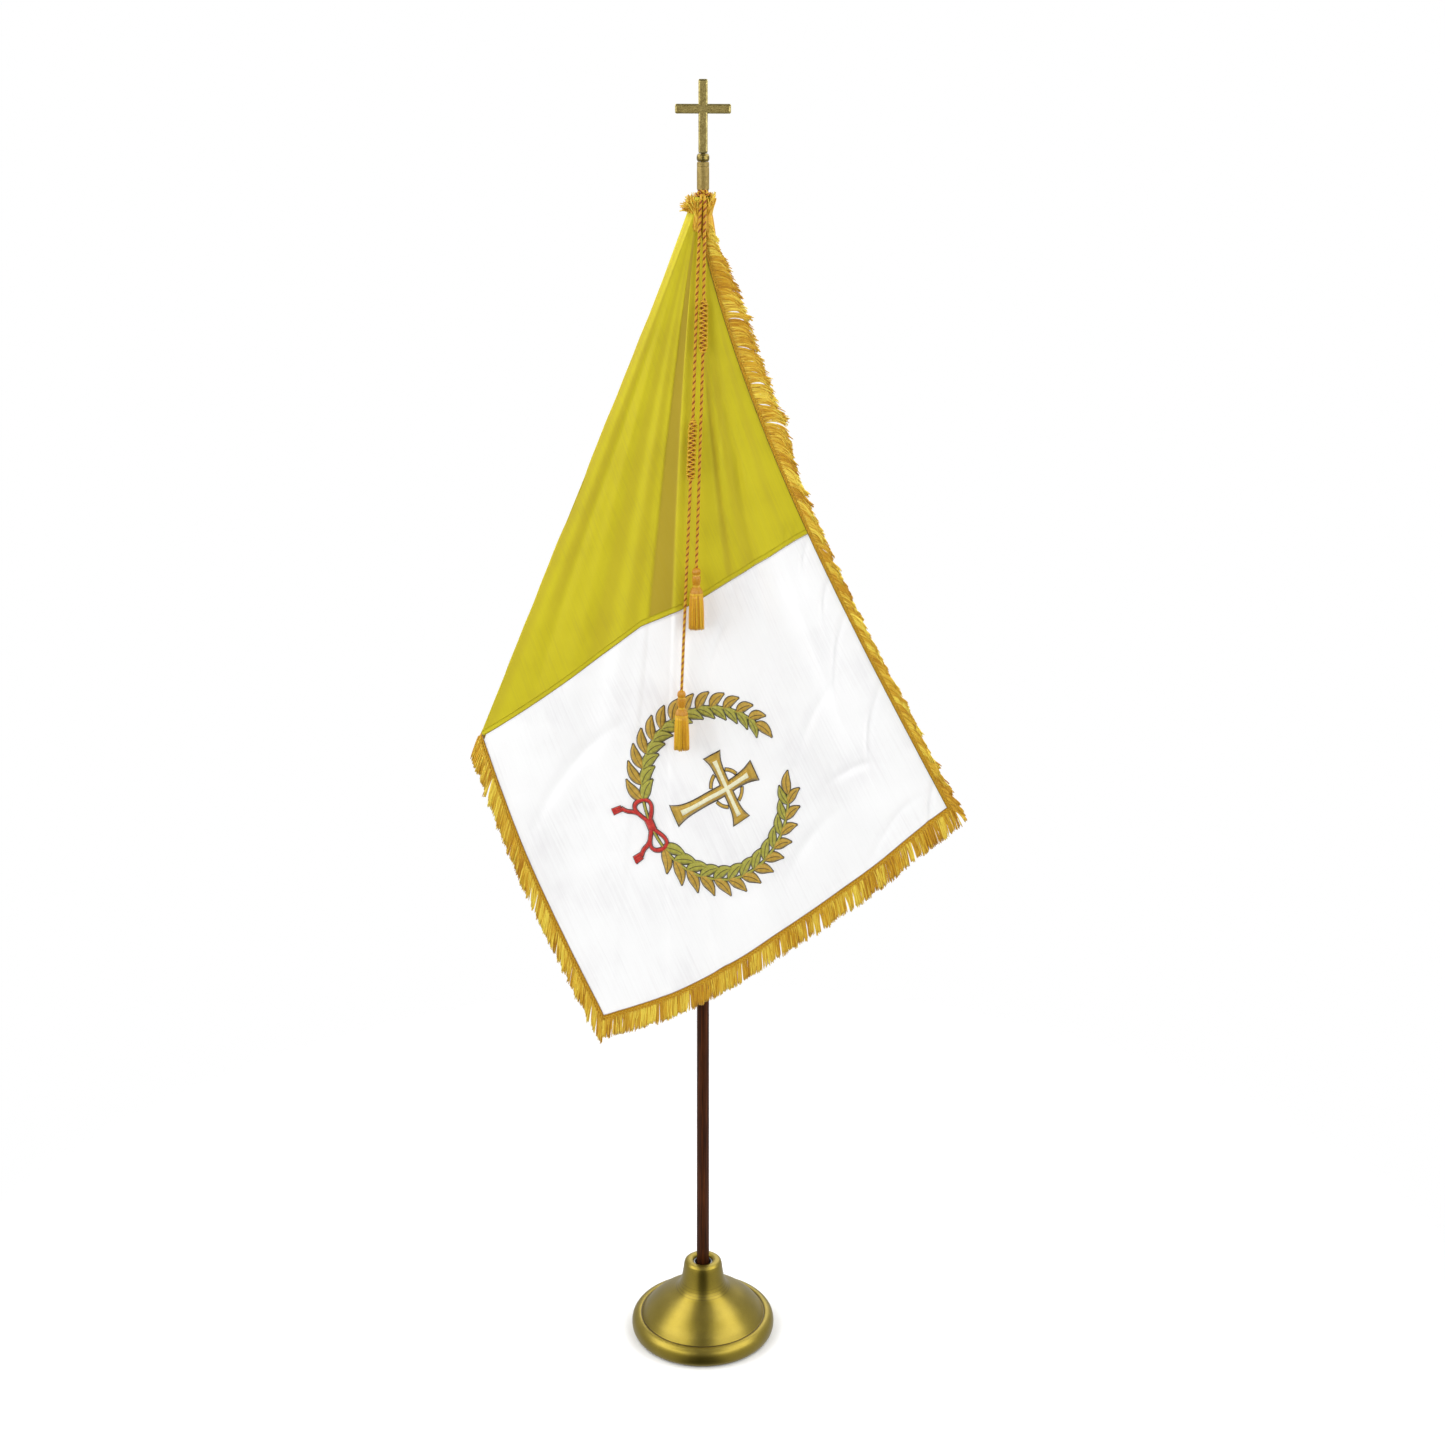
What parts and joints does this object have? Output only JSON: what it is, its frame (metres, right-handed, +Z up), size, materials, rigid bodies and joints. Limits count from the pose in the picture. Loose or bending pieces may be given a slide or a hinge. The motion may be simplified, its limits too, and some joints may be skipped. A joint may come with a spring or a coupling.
{
  "type": "flag pole stand",
  "caption": "Weighted round stand with a two-section screwed pole, cross finial, fringed flag with a pole sleeve, and a hanging cord with tassels.",
  "frame": {"origin": "on the pole's axis at floor level, the middle of the felt pad's underside", "axes": "+Z up along the pole, front of the flag faces -Y, +X to the right seen from the front"},
  "size_m": [1.0084, 0.31, 2.605],
  "materials": {
    "brass": "satin",
    "antique_brass": "satin",
    "steel": "satin",
    "iron": "matte",
    "felt": "matte",
    "dark_plastic": "matte",
    "stained_wood": "satin",
    "leather": "matte",
    "yellow_cloth": "matte",
    "white_cloth": "matte",
    "gold_fringe": "matte",
    "gold_cord": "matte",
    "embroidery": "matte"
  },
  "bodies": {
    "stand": {"base_shell": "brass", "base_weight": "iron", "socket_tube": "steel", "socket_washer": "steel", "socket_nut": "steel", "bottom_plate": "steel", "felt_pad": "felt", "neck_liner": "steel"},
    "bush": {"reducer_bush": "dark_plastic"},
    "lower_section": {"lower_pole": "stained_wood", "pole_foot": "brass", "joint_ferrule_lower": "brass"},
    "stud": {"joint_stud": "steel"},
    "upper_section": {"upper_pole": "stained_wood", "joint_ferrule_upper": "brass", "finial_ferrule": "antique_brass", "flag_sleeve": "yellow_cloth", "flag_hoist_panel": "yellow_cloth", "flag_fly_panel": "white_cloth", "flag_emblem": "embroidery", "fringe_top": "gold_fringe", "fringe_fly": "gold_fringe", "fringe_bottom": "gold_fringe", "tab_top": "leather", "tab_bottom": "leather", "tab_screw_top": "brass", "tab_screw_bottom": "brass", "cord_ring": "gold_cord", "cord_hitch": "gold_cord"},
    "collar": {"finial_collar": "antique_brass"},
    "finial": {"finial_spindle": "steel", "finial_cross": "antique_brass"},
    "short_cord": {"cord_short_upper": "gold_cord", "cord_short_knot": "gold_cord", "cord_short_lower": "gold_cord"},
    "long_cord": {"cord_long_upper": "gold_cord", "cord_long_knot": "gold_cord", "cord_long_lower": "gold_cord"},
    "short_tassel": {"tassel_short_head": "gold_fringe", "tassel_short_skirt": "gold_fringe"},
    "long_tassel": {"tassel_long_head": "gold_fringe", "tassel_long_skirt": "gold_fringe"}
  },
  "joints": [
    {"name": "pole_turn", "type": "hinge", "parent": "stand", "child": "bush", "pos_m": [0, 0, 0.08], "axis": [0, 0, 1], "continuous": true},
    {"name": "pole_lift", "type": "slide", "parent": "bush", "child": "lower_section", "axis": [0, 0, 1], "range_m": [0, 0.125]},
    {"name": "pole_joint_rise", "type": "slide", "parent": "lower_section", "child": "stud", "axis": [0, 0, 1], "range_m": [0, 0.0242]},
    {"name": "pole_joint_unscrew", "type": "hinge", "parent": "stud", "child": "upper_section", "pos_m": [0, 0, 1.23], "axis": [0, 0, 1], "range_deg": [0, 2880]},
    {"name": "finial_rise", "type": "slide", "parent": "upper_section", "child": "collar", "axis": [0, 0, 1], "range_m": [0, 0.0092]},
    {"name": "finial_unscrew", "type": "hinge", "parent": "collar", "child": "finial", "pos_m": [0, 0, 2.5], "axis": [0, 0, 1], "range_deg": [0, 3240]},
    {"name": "short_cord_swing", "type": "hinge", "parent": "upper_section", "child": "short_cord", "pos_m": [0.0036, -0.0355, 2.394], "axis": [1, 0, 0], "range_deg": [-12, 0]},
    {"name": "long_cord_swing", "type": "hinge", "parent": "upper_section", "child": "long_cord", "pos_m": [-0.0036, -0.0355, 2.394], "axis": [1, 0, 0], "range_deg": [-12, 0]},
    {"name": "short_tassel_swing", "type": "hinge", "parent": "short_cord", "child": "short_tassel", "pos_m": [-0.012, -0.06529, 1.717], "axis": [1, 0, 0], "range_deg": [-25, 0]},
    {"name": "long_tassel_swing", "type": "hinge", "parent": "long_cord", "child": "long_tassel", "pos_m": [-0.041, -0.07589, 1.476], "axis": [1, 0, 0], "range_deg": [-25, 0]}
  ],
  "couplings": [
    {"joint": "pole_joint_rise", "follows": "pole_joint_unscrew", "m_per_rad": 0.00047746},
    {"joint": "finial_rise", "follows": "finial_unscrew", "m_per_rad": 0.00015915}
  ]
}
